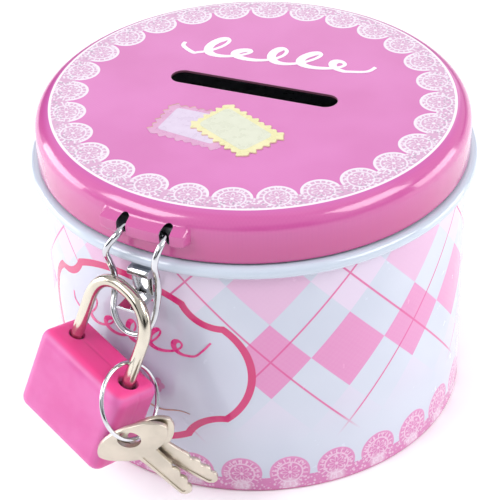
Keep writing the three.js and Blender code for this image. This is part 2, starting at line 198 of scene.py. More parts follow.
def tube(name, path, radius, sides, mats, closed=False, matrix=None, up=(0, 0, 1), smooth=50.0, round_ends=0.0):
    """A round bar swept along a path, with a frame carried along it so that it never twists."""
    P = [Vector(p) for p in path]
    n = len(P)
    T = []
    for i in range(n):
        a = P[(i - 1) % n] if closed or i > 0 else P[i]
        b = P[(i + 1) % n] if closed or i < n - 1 else P[i]
        T.append((b - a).normalized())
    u = Vector(up)
    if abs(u.dot(T[0])) > 0.9:
        u = Vector((1, 0, 0))
    nrm = (u - T[0] * u.dot(T[0])).normalized()
    verts, faces = [], []
    for i in range(n):
        nrm = (nrm - T[i] * nrm.dot(T[i])).normalized()
        bi = T[i].cross(nrm)
        r = radius(i / (n - 1)) if callable(radius) else radius
        for k in range(sides):
            a = 2 * math.pi * k / sides
            verts.append(P[i] + (nrm * math.cos(a) + bi * math.sin(a)) * r)
    for i in range(n if closed else n - 1):
        j = (i + 1) % n
        for k in range(sides):
            k2 = (k + 1) % sides
            faces.append((i * sides + k, i * sides + k2, j * sides + k2, j * sides + k))
    if not closed:
        r = radius(0) if callable(radius) else radius
        for end, sgn in ((0, -1), (n - 1, 1)):
            prev = [end * sides + k for k in range(sides)]
            c = P[end]
            for q in (0.35, 0.7, 0.92):
                ring = []
                rr = math.sqrt(max(0.0, 1 - q * q))
                for k in prev if q == 0.35 else range(sides):
                    pass
                for k in range(sides):
                    base = verts[end * sides + k]
                    verts.append(c + (base - c) * rr + T[end] * sgn * q * r * round_ends)
                    ring.append(len(verts) - 1)
                for k in range(sides):
                    k2 = (k + 1) % sides
                    faces.append((prev[k], prev[k2], ring[k2], ring[k]))
                prev = ring
            faces.append(tuple(prev))
    return obj_from(name, verts, faces, mats, None, matrix, smooth)


def prism(name, outline, z0, z1, mats, bevel=0.0, segs=2, matrix=None, smooth=30.0):
    """A plate from a flat outline of (x, y), with bevelled edges."""
    n = len(outline)
    verts = [(x, y, z0) for x, y in outline] + [(x, y, z1) for x, y in outline]
    faces = [tuple(range(n - 1, -1, -1)), tuple(range(n, 2 * n))]
    faces += [(i, (i + 1) % n, n + (i + 1) % n, n + i) for i in range(n)]
    o = obj_from(name, verts, faces, mats, None, None, smooth)
    if bevel:
        bm = bmesh.new()
        bm.from_mesh(o.data)
        sharp = [e for e in bm.edges if len(e.link_faces) == 2 and e.calc_face_angle(0) > rad(50)]
        bmesh.ops.bevel(bm, geom=sharp, offset=bevel * MM, segments=segs, affect="EDGES", profile=0.5, clamp_overlap=True)
        bm.to_mesh(o.data)
        bm.free()
        finish_mesh(o, smooth)
    if matrix is not None:
        s = Matrix.Diagonal((MM, MM, MM, 1))
        o.data.transform(s @ matrix @ s.inverted())
    return o


def stadium(l, w, n=24, cx=0.0, cy=0.0):
    r, h = w / 2, l / 2 - w / 2
    pts = [(cx + h + r * math.cos(a), cy + r * math.sin(a)) for a in np.linspace(-math.pi / 2, math.pi / 2, n)]
    pts += [(cx - h + r * math.cos(a), cy + r * math.sin(a)) for a in np.linspace(math.pi / 2, 1.5 * math.pi, n)]
    return pts


def refine(node, name, mats, bevel=0.12, angle=35.0, segs=2, slot=None, smooth=35.0):
    """A finer piece from a frame node: same shape, with its sharp edges rounded."""
    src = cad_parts[node].data
    bm = bmesh.new()
    bm.from_mesh(src)
    bmesh.ops.remove_doubles(bm, verts=bm.verts, dist=2e-6)
    bmesh.ops.dissolve_limit(bm, angle_limit=rad(1.0), verts=bm.verts, edges=bm.edges)
    if bevel:
        sharp = [e for e in bm.edges if len(e.link_faces) == 2 and e.calc_face_angle(0) > rad(angle)]
        bmesh.ops.bevel(bm, geom=sharp, offset=bevel * MM, segments=segs, affect="EDGES", profile=0.5, clamp_overlap=True)
    m = bpy.data.meshes.new(name)
    bm.to_mesh(m)
    bm.free()
    for mat in mats:
        m.materials.append(mat)
    o = bpy.data.objects.new(name, m)
    COL.objects.link(o)
    for p in m.polygons:
        p.material_index = 0
    finish_mesh(o, smooth)
    return o


# ------------------------------------------------------------------ material helpers
def lin(c):
    out = []
    for v in c:
        v = v / 255.0
        out.append(v / 12.92 if v <= 0.04045 else ((v + 0.055) / 1.055) ** 2.4)
    return tuple(out) + (1.0,)


class E:
    """A number in a node tree. Arithmetic on it makes Math nodes."""

    def __init__(self, nt, out):
        self.nt, self.out = nt, out

    def op(self, kind, *args):
        n = self.nt.nodes.new("ShaderNodeMath")
        n.operation = kind
        for i, a in enumerate((self,) + args):
            if isinstance(a, E):
                self.nt.links.new(a.out, n.inputs[i])
            else:
                n.inputs[i].default_value = float(a)
        return E(self.nt, n.outputs[0])

    def const(self, v):
        n = self.nt.nodes.new("ShaderNodeValue")
        n.outputs[0].default_value = float(v)
        return E(self.nt, n.outputs[0])

    def __add__(self, o): return self.op("ADD", o)
    def __radd__(self, o): return self.op("ADD", o)
    def __sub__(self, o): return self.op("SUBTRACT", o)
    def __rsub__(self, o): return self.op("MULTIPLY", -1.0) + o
    def __mul__(self, o): return self.op("MULTIPLY", o)
    def __rmul__(self, o): return self.op("MULTIPLY", o)
    def __truediv__(self, o): return self.op("DIVIDE", o)
    def __neg__(self): return self.op("MULTIPLY", -1.0)
    def abs(self): return self.op("ABSOLUTE")
    def sin(self): return self.op("SINE")
    def cos(self): return self.op("COSINE")
    def sqrt(self): return self.op("SQRT")
    def floor(self): return self.op("FLOOR")
    def fract(self): return self.op("FRACT")
    def max(self, o): return self.op("MAXIMUM", o)
    def min(self, o): return self.op("MINIMUM", o)
    def atan2(self, o): return self.op("ARCTAN2", o)
    def pingpong(self, o): return self.op("PINGPONG", o)

    def below(self, edge, soft=0.04):
        """1 where the value is under edge, 0 above, with a soft step."""
        n = self.nt.nodes.new("ShaderNodeMapRange")
        n.interpolation_type = "SMOOTHSTEP"
        self.nt.links.new(self.out, n.inputs["Value"])
        n.inputs["From Min"].default_value = edge - soft
        n.inputs["From Max"].default_value = edge + soft
        n.inputs["To Min"].default_value = 1.0
        n.inputs["To Max"].default_value = 0.0
        return E(self.nt, n.outputs["Result"])

    def above(self, edge, soft=0.04):
        n = self.below(edge, soft)
        return 1.0 - n

    def ramp(self, a, b, lo=0.0, hi=1.0):
        n = self.nt.nodes.new("ShaderNodeMapRange")
        n.interpolation_type = "SMOOTHSTEP"
        self.nt.links.new(self.out, n.inputs["Value"])
        n.inputs["From Min"].default_value = a
        n.inputs["From Max"].default_value = b
        n.inputs["To Min"].default_value = lo
        n.inputs["To Max"].default_value = hi
        return E(self.nt, n.outputs["Result"])


def length(*xs):
    s = xs[0] * xs[0]
    for x in xs[1:]:
        s = s + x * x
    return s.sqrt()


def material(name, base=(200, 200, 200), rough=0.4, metal=0.0, **sockets):
    m = bpy.data.materials.new(name)
    m.use_nodes = True
    nt = m.node_tree
    b = nt.nodes["Principled BSDF"]
    b.inputs["Base Color"].default_value = lin(base)
    b.inputs["Roughness"].default_value = rough
    b.inputs["Metallic"].default_value = metal
    for k, v in sockets.items():
        b.inputs[k.replace("_", " ")].default_value = v
    return m, nt, b


def coords(nt):
    """Object coordinates in millimetres as three numbers, and as a vector."""
    tc = nt.nodes.new("ShaderNodeTexCoord")
    sc = nt.nodes.new("ShaderNodeVectorMath")
    sc.operation = "SCALE"
    sc.inputs["Scale"].default_value = 1000.0
    nt.links.new(tc.outputs["Object"], sc.inputs[0])
    sp = nt.nodes.new("ShaderNodeSeparateXYZ")
    nt.links.new(sc.outputs[0], sp.inputs[0])
    return [E(nt, sp.outputs[i]) for i in range(3)] + [sc.outputs[0]]


def vec(nt, x, y, z=0.0):
    n = nt.nodes.new("ShaderNodeCombineXYZ")
    for i, v in enumerate((x, y, z)):
        if isinstance(v, E):
            nt.links.new(v.out, n.inputs[i])
        else:
            n.inputs[i].default_value = v
    return n.outputs[0]


def mix(nt, fac, a, b):
    n = nt.nodes.new("ShaderNodeMix")
    n.data_type = "RGBA"
    if isinstance(fac, E):
        nt.links.new(fac.out, n.inputs[0])
    else:
        n.inputs[0].default_value = fac
    for i, v in ((6, a), (7, b)):
        if isinstance(v, tuple):
            n.inputs[i].default_value = v if len(v) == 4 else lin(v)
        else:
            nt.links.new(v, n.inputs[i])
    return n.outputs[2]


def noise(nt, v, scale, detail=3.0, rough=0.55):
    n = nt.nodes.new("ShaderNodeTexNoise")
    n.inputs["Scale"].default_value = scale
    n.inputs["Detail"].default_value = detail
    n.inputs["Roughness"].default_value = rough
    nt.links.new(v, n.inputs["Vector"])
    return E(nt, n.outputs[0])


def voronoi(nt, v, scale, feature="F1"):
    n = nt.nodes.new("ShaderNodeTexVoronoi")
    n.feature = feature
    n.inputs["Scale"].default_value = scale
    nt.links.new(v, n.inputs["Vector"])
    return E(nt, n.outputs["Distance"])


def bump(nt, b, height, distance, strength=1.0):
    n = nt.nodes.new("ShaderNodeBump")
    n.inputs["Strength"].default_value = strength
    n.inputs["Distance"].default_value = distance
    nt.links.new(height.out, n.inputs["Height"])
    nt.links.new(n.outputs[0], b.inputs["Normal"])


def link(nt, e, socket):
    nt.links.new(e.out if isinstance(e, E) else e, socket)


# ------------------------------------------------------------------ materials
def lace(nt, u, v, rho, alpha, vs):
    """Openwork lace: petals round each scallop's centre, rings, and a fine mesh of dots. 1 is thread, 0 is ground."""
    petals = ((alpha * 4.0).cos().abs() * 1.15 + 0.55) * 1.0
    flower = (rho - petals).abs().below(0.16, 0.12)
    heart = rho.below(0.35, 0.1)
    ring1 = (rho - 2.35).abs().below(0.14, 0.1)
    spokes = (alpha * 9.0).sin().abs().below(0.34, 0.2) * (rho - 2.95).abs().below(0.5, 0.12)
    mesh = voronoi(nt, vs, 1.5).below(0.35, 0.14)
    return (flower.max(heart)).max(ring1).max(spokes).max(mesh * rho.above(1.6, 0.3))


def lid_material():
    m, nt, b = material("lid_lacquer", rough=0.2, metal=0.0, Coat_Weight=0.6, Coat_Roughness=0.06)
    x, y, z, v = coords(nt)
    r = length(x, y)
    phi = y.atan2(x)
    # colour of the lacquer: cooler and paler on the panel, deeper down the skirt
    cloud = noise(nt, v, 0.05, 2.0)
    top = mix(nt, cloud.ramp(0.35, 0.7), (186, 82, 156), (193, 93, 166))
    side = mix(nt, z.ramp(53.0, 60.5), (182, 68, 130), (192, 86, 150))
    pink = mix(nt, r.ramp(37.4, 39.2), top, side)
    # halftone print grain
    ht = ((x * 8.2 + y * 3.1).sin() * (y * 8.2 - x * 3.1).sin()).ramp(-0.6, 0.6)
    pink = mix(nt, ht * 0.10, pink, (170, 70, 138))
    # lace border of 28 scallops
    k = 28
    fold = ((phi * (k / (2 * math.pi)) + 0.31).fract() - 0.5) * (2 * math.pi / k)
    u, w = r * fold.sin(), r * fold.cos()
    dome = length(u, w - 34.35)
    vs = vec(nt, x, y, 0.0)
    alpha = u.atan2(w - 34.35)
    inside = (dome.below(3.62, 0.06)).max(r.above(34.1, 0.06)) * r.below(37.3, 0.05)
    thread = lace(nt, u, w, dome, alpha, vs)
    edge = (dome - 3.35).abs().below(0.24, 0.08) * r.below(34.4, 0.3)
    cloth = mix(nt, thread.max(edge), (188, 140, 174), (212, 204, 214))
    # grey and rose dots near the rim
    cell = vec(nt, phi * 36.0 * 1.25, r * 1.25, 0.0)
    dots = voronoi(nt, cell, 1.0).below(0.27, 0.1) * (r - 36.1).abs().below(1.0, 0.25)
    cloth = mix(nt, dots * 0.75, cloth, (140, 128, 146))
    col = mix(nt, inside, pink, cloth)
    # white line round the panel
    rim = (r - 37.5).abs().below(0.24, 0.05) * z.above(60.9, 0.1)
    col = mix(nt, rim, col, (224, 216, 224))
    # painted shade: the walls and a thin rim of the punched slot are painted a dark pink for the dark inside the slot
    hx = ((x - SLOT_X).abs() - (SLOT_L - SLOT_W) / 2).max(0.0)
    edge = length(hx, y - SLOT_Y).below(SLOT_W / 2 + 0.06, 0.04)
    col = mix(nt, edge, col, (120, 74, 96))
    link(nt, col, b.inputs["Base Color"])
    # orange peel in the lacquer, and fine handling marks
    peel = noise(nt, v, 0.55, 2.0)
    link(nt, noise(nt, v, 0.35, 4.0).ramp(0.3, 0.75, 0.15, 0.26), b.inputs["Roughness"])
    bump(nt, b, peel, 0.00004, 0.35)
    return m


def wall_material():
    m, nt, b = material("printed_tin", rough=0.2, metal=0.0, Coat_Weight=0.5, Coat_Roughness=0.08)
    x, y, z, v = coords(nt)
    # angle from the front of the print, positive to the right
    anchor = rad(24.58)
    ca, sa = math.cos(anchor), math.sin(anchor)
    xr, yr = x * ca + y * sa, y * ca - x * sa
    psi = xr.atan2(-yr)
    s = psi * 40.0                         # arc length, mm
    pitch, rise = 14.65, 16.71
    a, c = s / pitch, (z - 30.45) / rise
    ground = mix(nt, noise(nt, v, 0.045, 2.0).ramp(0.35, 0.7), (190, 196, 210), (197, 202, 215))
    # argyle diamonds: |a| + |c| < 1/2 round every lattice point
    fa = (a + 0.5).fract() - 0.5
    row = (c + 0.5).floor()
    fc = (c + 0.5).fract() - 0.5
    d = (fa.abs() + fc.abs() - 0.5) * 10.9
    dia = d.below(0.0, 0.07)
    mid = row.abs().below(0.5, 0.1)
    up = row.above(0.5, 0.1)
    alt = ((a + 0.5).floor() * 0.5).fract().below(0.25, 0.01)
    tone = mix(nt, mid, (212, 196, 216), (210, 132, 180))
    tone = mix(nt, up * alt, tone, (212, 168, 200))
    weave = ((s * 5.1).sin() * (z * 5.1).sin()).ramp(-0.7, 0.7)
    tone = mix(nt, weave * 0.03, tone, (226, 200, 216))
    fade = z.ramp(9.0, 25.0)
    strength = mid.max(up * 0.95).max(fade * 0.55)
    col = mix(nt, dia * strength, ground, tone)
    # thin crossed lines
    l1 = (((a - c) * 0.5 + 0.5).fract() - 0.5).abs() * 2.0
    l2 = (((a + c) * 0.5 + 0.5).fract() - 0.5).abs() * 2.0
    line = (l1.min(l2) * 11.0).below(0.19, 0.07)
    col = mix(nt, line * z.ramp(10.5, 17.0) * 0.9, col, (206, 74, 140))
    # cartouche
    cx = s + (24.58 + 14.2) * 40.0 * math.pi / 180
    px, pz = cx.abs(), (z - 27.5).abs()
    d_top = length(px, pz + 5.0) - 22.9
    d_right = length(px - 10.55, pz) - 13.15
    d_notch = 7.86 - length(px - 18.68, pz - 18.06)
    dc = d_top.min(d_right).max(d_notch)
    col = mix(nt, dc.below(0.0, 0.05), col, (196, 200, 215))
    col = mix(nt, dc.abs().below(0.72, 0.07), col, (198, 28, 104))
    # lace scallops along the bottom: 28 round
    k = 28
    fold = ((psi * (k / (2 * math.pi)) + (0.5 - 4.5 * k / 360.0)).fract() - 0.5) * (2 * math.pi / k)
    u = fold * 40.0
    w = z - 4.3
    rho = length(u, w)
    alpha = u.atan2(w)
    dome = rho.below(3.82, 0.06).max(z.below(3.2, 0.06))
    vs = vec(nt, s, z, 0.0)
    thread = lace(nt, u, w, rho, alpha, vs)
    pinkish = mix(nt, thread * 0.75, (202, 118, 170), (226, 200, 218))
    rimd = (rho - 3.6).abs().below(0.2, 0.08) * z.above(3.6, 0.3)
    pinkish = mix(nt, rimd, pinkish, (208, 132, 178))
    base_fl = length(u * 0.9, z - 1.3).below(1.5, 0.5)
    pinkish = mix(nt, base_fl * 0.5, pinkish, (230, 216, 226))
    col = mix(nt, dome, col, pinkish)
    # line at the bottom edge, plain white bead and neck
    col = mix(nt, z.below(0.45, 0.1), col, (196, 96, 150))
    col = mix(nt, z.above(BEAD_Z0 - 0.35, 0.06), col, (190, 200, 213))
    link(nt, col, b.inputs["Base Color"])
    peel = noise(nt, v, 0.5, 2.0)
    link(nt, noise(nt, v, 0.3, 4.0).ramp(0.3, 0.75, 0.16, 0.28), b.inputs["Roughness"])
    bump(nt, b, peel, 0.00004, 0.3)
    return m


def tin_material():
    m, nt, b = material("bare_tin", (196, 198, 203), 0.34, 1.0, Anisotropic=0.3)
    x, y, z, v = coords(nt)
    st = nt.nodes.new("ShaderNodeVectorMath")
    st.operation = "MULTIPLY"
    st.inputs[1].default_value = (1.0, 1.0, 9.0)
    nt.links.new(v, st.inputs[0])
    roll = noise(nt, st.outputs[0], 0.6, 5.0, 0.6)
    blotch = noise(nt, v, 0.09, 3.0)
    link(nt, mix(nt, blotch.ramp(0.35, 0.7), (186, 188, 194), (208, 209, 212)), b.inputs["Base Color"])
    link(nt, roll.ramp(0.3, 0.7, 0.26, 0.42), b.inputs["Roughness"])
    bump(nt, b, roll, 0.00003, 0.4)
    return m


def metal_material(name, dark, light, rlo, rhi, scale=0.8, bumpd=0.00002, **k):
    m, nt, b = material(name, light, (rlo + rhi) / 2, 1.0, **k)
    x, y, z, v = coords(nt)
    big = noise(nt, v, scale * 0.25, 3.0)
    fine = noise(nt, v, scale * 4.0, 5.0, 0.65)
    link(nt, mix(nt, big.ramp(0.3, 0.72), dark, light), b.inputs["Base Color"])
    link(nt, (fine * 0.6 + big * 0.4).ramp(0.3, 0.72, rlo, rhi), b.inputs["Roughness"])
    bump(nt, b, fine, bumpd, 0.35)
    return m


def vinyl_material():
    m, nt, b = material("pink_vinyl", (220, 104, 172), 0.42, 0.0, Subsurface_Weight=0.3, Subsurface_Scale=0.002, Specular_IOR_Level=0.45)
    b.inputs["Subsurface Radius"].default_value = (1.0, 0.45, 0.6)
    x, y, z, v = coords(nt)
    big = noise(nt, v, 0.12, 3.0)
    fine = noise(nt, v, 5.0, 4.0, 0.6)
    # painted shade: the moulding's top and ends are painted a deeper pink than its broad faces, for the shade the
    # light leaves there
    up, end = LOCK.to_3x3() @ Vector((0, 0, 1)), LOCK.to_3x3() @ Vector((1, 0, 0))
    tv, ev = (LOCK @ Vector((0, 0, TOP_Z))).dot(up), (LOCK @ Vector((COVER_X + COVER_W / 2, 0, 0))).dot(end)
    du = x * up.x + y * up.y + z * up.z
    de = x * end.x + y * end.y + z * end.z
    body = mix(nt, big.ramp(0.3, 0.72), (204, 90, 156), (210, 106, 168))
    body = mix(nt, du.ramp(tv - 0.8, tv - 0.15) * 0.85, body, (232, 56, 134))
    body = mix(nt, de.ramp(ev - 0.8, ev - 0.15) * 0.5, body, (222, 70, 144))
    link(nt, body, b.inputs["Base Color"])
    link(nt, (fine * 0.5 + big * 0.5).ramp(0.3, 0.72, 0.34, 0.5), b.inputs["Roughness"])
    bump(nt, b, fine, 0.00003, 0.5)
    return m


def print_material(name, a, c, rough=0.3):
    """A printed patch: ink with a little grain, under the same lacquer."""
    m, nt, b = material(name, a, rough, 0.0, Coat_Weight=0.4, Coat_Roughness=0.1)
    x, y, z, v = coords(nt)
    grain = noise(nt, v, 0.5, 3.0)
    link(nt, mix(nt, grain.ramp(0.35, 0.7), a, c), b.inputs["Base Color"])
    link(nt, grain.ramp(0.3, 0.7, rough - 0.06, rough + 0.06), b.inputs["Roughness"])
    return m


LID = lid_material()
PRINT = wall_material()
TIN = tin_material()
CHROME = metal_material("chrome", (188, 189, 193), (214, 215, 218), 0.04, 0.1, scale=0.5, bumpd=0.000004)
NICKEL = metal_material("nickel", (194, 187, 172), (216, 209, 194), 0.13, 0.2, scale=0.5, bumpd=0.000006)
KEYMET = metal_material("key_metal", (188, 180, 166), (208, 199, 184), 0.28, 0.4, scale=0.6, bumpd=0.000012)
BRASS = metal_material("brass", (176, 138, 66), (206, 170, 92), 0.2, 0.34)
STEEL = metal_material("spring_steel", (118, 118, 124), (156, 156, 160), 0.25, 0.4)
VINYL = vinyl_material()
INK_WHITE = print_material("ink_white", (228, 214, 226), (236, 224, 234))
INK_PINK = print_material("ink_pink", (214, 58, 130), (224, 82, 146))
TAG_CREAM = print_material("tag_cream", (192, 195, 174), (199, 202, 182))
TAG_EDGE = print_material("tag_edge", (206, 200, 146), (214, 208, 160))
TAG_LILAC = print_material("tag_lilac", (192, 176, 198), (200, 186, 206))
TAG_ROSE = print_material("tag_rose", (190, 134, 172), (198, 146, 180))
TAG_LINE = print_material("tag_line", (168, 120, 110), (190, 140, 124))

# ------------------------------------------------------------------ angles round the tin, closer together at the hasp
fine = np.arange(-17.0, 17.001, 0.35) + HASP_TURN
coarse = np.linspace(17.0, 343.0, 262)[1:-1] + HASP_TURN
ANG = [rad(a) for a in np.concatenate([fine, coarse])]
ROUND = [rad(a) for a in np.linspace(0, 360, 361)[:-1]]


# ------------------------------------------------------------------ drum
def build_drum():
    t = 0.42
    prof, mats = [], []

    def p(r, z, m=0):
        prof.append((r, z)); mats.append(m)

    # outside, from the rolled bottom edge upwards
    for a in np.linspace(-90, 0, 6):
        p(WALL_R - 0.35 + 0.35 * math.cos(rad(a)), 0.35 + 0.35 * math.sin(rad(a)))
    for z in (0.9, 1.3):
        p(WALL_R, z)
    p(WALL_R - 0.12, 1.6); p(WALL_R - 0.02, 2.0)
    for z in np.linspace(4, 48, 12):
        p(WALL_R, z)
    p(WALL_R, 49.0)
    br, bz = 1.2, 50.7
    for a in np.linspace(-100, 90, 20):
        p(BEAD_R - br + br * math.cos(rad(a)), bz + br * math.sin(rad(a)))
    p(BEAD_R - br - 0.6, 51.88); p(39.5, 51.8); p(39.12, 51.95); p(NECK_R, 52.4, 1)
    for z in (54.0, 56.6):
        p(NECK_R, z, 1)
    for a in np.linspace(0, 180, 9):
        p(NECK_R - 0.28 + 0.28 * math.cos(rad(a)), NECK_Z - 0.3 + 0.28 * math.sin(rad(a)), 1)
    p(NECK_R - t - 0.14, 56.0, 1); p(NECK_R - t, 52.4, 1); p(NECK_R - t + 0.15, 51.6, 1)
    for a in np.linspace(80, -80, 9):
        p(BEAD_R - br + 0.75 * math.cos(rad(a)) - 0.2, bz + 0.75 * math.sin(rad(a)), 1)
    p(WALL_R - t, 49.0, 1)
    for z in (40, 20, 3, 0.6):
        p(WALL_R - t, z, 1)
    p(WALL_R - t + 0.02, 0.1, 1)

    seam = rad(24.58) + math.pi

    def shape(r, a, z, i):
        # lap seam down the back
        d = (a - seam + math.pi) % (2 * math.pi) - math.pi
        w = abs(d) * WALL_R
        h = 0.22 * max(0.0, min(1.0, (1.9 - w) / 0.25)) if mats[i] == 0 and 0.9 < z < 49.5 else 0.0
        return r + h

    extra = [seam + d / WALL_R for d in (-2.0, -1.88, -1.65, -1.2, 1.2, 1.65, 1.88, 2.0)]
    ang = sorted({round(a % (2 * math.pi), 6) for a in ANG + extra})
    o = revolve("drum_wall", prof, ang, [PRINT, TIN], mats, shape=shape, smooth=42)
    put(o, "box_body", "body_wall")
    # seamed bottom: flat rim, step up, panel with two stiffening rings
    bp, zt = [], 0.0
    outer = [(0, 0.14), (8, 0.14), (8.6, 0.3), (9.4, 0.3), (10, 0.14), (30, 0.14), (30.6, 0.32), (31.6, 0.32), (32.2, 0.14), (35.4, 0.14), (36.2, 0.05), (38.8, 0.05), (39.1, 0.16), (39.15, 0.34), (39.0, 0.52), (38.6, 0.58)]
    inner = [(36.0, 0.58), (35.4, 0.5), (32.2, 0.5), (31.6, 0.59), (30.6, 0.59), (30.0, 0.5), (10, 0.5), (9.4, 0.59), (8.6, 0.59), (8, 0.5), (0, 0.5)]
    o = revolve("bottom_panel", outer + inner, ROUND, [TIN], smooth=25)
    put(o, "box_body", "base_panel")


# ------------------------------------------------------------------ lid
def rib_height(a, z):
    """How far the embossed rib over the wire stands out at angle a and height z."""
    s = ((a - rad(HASP_TURN) + math.pi) % (2 * math.pi) - math.pi) * LID_R
    hl, hw = 7.35, 0.55
    dx, dz = max(0.0, abs(s - 0.1) - hl), max(0.0, abs(z - BAR_Z) - hw)
    d = math.hypot(dx, dz)
    t = max(0.0, min(1.0, (1.4 - d) / 0.85))
    t = t * t * (3 - 2 * t)
    return 1.9 * t


def build_lid():
    t = 0.42
    prof, mats = [], []

    def p(r, z, m=0):
        prof.append((r, z)); mats.append(m)

    p(0, LID_TOP)
    for r in (8, 16, 24, 30, 34, 36.4):
        p(r, LID_TOP)
    for a in np.linspace(90, 0, 15):
        p(LID_PANEL_R + LID_CORNER * math.cos(rad(a)), LID_TOP - LID_CORNER + LID_CORNER * math.sin(rad(a)))
    for z in np.arange(57.75, 53.0, -0.25):
        p(LID_R, z)
    p(LID_R, 52.9)
    for a in np.linspace(0, -180, 9):
        p(LID_R - 0.3 + 0.3 * math.cos(rad(a)), LID_Z0 + 0.3 + 0.3 * math.sin(rad(a)), 0 if a > -95 else 1)
    p(LID_R - t, 52.9, 1)
    for z in np.arange(53.25, 58.0, 0.25):
        p(LID_R - t, z, 1)
    rr = LID_CORNER - t
    for a in np.linspace(0, 90, 11):
        p(LID_PANEL_R + rr * math.cos(rad(a)), LID_TOP - LID_CORNER + rr * math.sin(rad(a)), 1)
    for r in (34, 24, 12):
        p(r, LID_TOP - t, 1)
    p(0, LID_TOP - t, 1)

    def shape(r, a, z, i):
        return r + rib_height(a, z) if r > LID_R - 1.6 and z < 60.0 else r

    ang = sorted({round(a % (2 * math.pi), 6) for a in ANG})
    o = revolve("lid_top", prof, ang, [LID, TIN], mats, shape=shape, smooth=38)
    slot = prism("c0", stadium(SLOT_L, SLOT_W, 28, SLOT_X, SLOT_Y), LID_TOP - 3, LID_TOP + 3, [LID])
    cutters = [slot]
    for i, xx in enumerate((LEG_XL, LEG_XR)):
        hole = prism(f"c{i+1}", stadium(4.4, 1.9, 14), -3.5, 5.0, [TIN])
        m = HASP @ Matrix.Translation((xx, -41.5, 57.0)) @ Matrix.Rotation(rad(90), 4, "X") @ Matrix.Rotation(rad(90), 4, "Z")
        s = Matrix.Diagonal((MM, MM, MM, 1))
        hole.data.transform(s @ m @ s.inverted())
        cutters.append(hole)
    cut(o, cutters, smooth=38)
    put(o, "lid", "lid_shell")


# ------------------------------------------------------------------ printed patches
def ribbon(name, pts, width, z0, z1, mat, body, to=None, n=220):
    """A flat printed stroke along a smooth path of (x, y), with a width that swells and thins. to() carries (x, y, h) onto a surface."""
    P = [Vector((p[0], p[1], 0)) for p in pts]
    res = []
    for i in range(len(P) - 1):
        a, b, c, d = P[max(i - 1, 0)], P[i], P[i + 1], P[min(i + 2, len(P) - 1)]
        for k in range(14):
            u = k / 14
            res.append(0.5 * ((2 * b) + (c - a) * u + (2 * a - 5 * b + 4 * c - d) * u * u + (3 * b - a - 3 * c + d) * u ** 3))
    res.append(P[-1])
    m = len(res)
    left, right = [], []
    for i, q in enumerate(res):
        tg = (res[min(i + 1, m - 1)] - res[max(i - 1, 0)]).normalized()
        nn = Vector((-tg.y, tg.x, 0))
        w = width(i / (m - 1), tg) / 2
        left.append(q + nn * w)
        right.append(q - nn * w)
    verts, faces = [], []
    f = to or (lambda x, y, h: (x, y, h))
    for i in range(m):
        lift = 0.03 * i / m                # a later stroke lies over an earlier one
        for q in (left[i], right[i]):
            verts.append(f(q.x, q.y, z0))
            verts.append(f(q.x, q.y, z1 + lift))
    for i in range(m - 1):
        a, b = i * 4, (i + 1) * 4
        faces += [(a + 1, a + 3, b + 3, b + 1), (a, b, b + 2, a + 2), (a, a + 1, b + 1, b), (a + 2, b + 2, b + 3, a + 3)]
    faces += [(0, 2, 3, 1), ((m - 1) * 4, (m - 1) * 4 + 1, (m - 1) * 4 + 3, (m - 1) * 4 + 2)]
    o = obj_from(name, verts, faces, [mat], None, None, 60)
    return put(o, body)


def patch(name, outline, z0, z1, mat, body):
    o = prism(name, outline, z0, z1, [mat], smooth=60)
    return put(o, body)


def cam_to_part(xc, yc):
    return 0.9259 * xc - 0.3778 * yc, 0.3778 * xc + 0.9259 * yc


def on_top(px, py):
    """A point of the lid's print, from its plan in the view's own axes."""
    return cam_to_part((px - 500) / 11.905, (500 - py) / 11.905)


def deckle(corners, n_long, n_short, amp, base=0.0, seed=0.0):
    """A torn-looking label edge: rounded teeth along each side of a quadrilateral."""
    out = []
    C = [Vector((c[0], c[1])) for c in corners]
    cen = sum(C, Vector((0, 0))) / 4
    for i in range(4):
        a, b = C[i], C[(i + 1) % 4]
        teeth = n_long if i % 2 == 0 else n_short
        d = (b - a)
        nrm = Vector((d.y, -d.x)).normalized()
        if nrm.dot((a + b) / 2 - cen) < 0:
            nrm = -nrm
        steps = teeth * 8
        for k in range(steps):
            u = k / steps
            ph = u * teeth
            wob = 0.5 + 0.5 * math.cos(2 * math.pi * (ph - 0.5))
            h = base + amp * (wob ** 0.8) * (1 + 0.25 * math.sin(3.1 * ph + seed))
            q = a + d * u + nrm * h
            out.append((q.x, q.y))
    return out


def rquad(corners, r, n=7):
    """A quadrilateral with rounded corners."""
    C = [Vector((c[0], c[1])) for c in corners]
    out = []
    for i in range(4):
        a, b, c = C[i - 1], C[i], C[(i + 1) % 4]
        s, e = b + (a - b).normalized() * r, b + (c - b).normalized() * r
        for k in range(n):
            u = k / (n - 1)
            q = s * (1 - u) ** 2 + b * 2 * u * (1 - u) + e * u * u
            out.append((q.x, q.y))
    return out


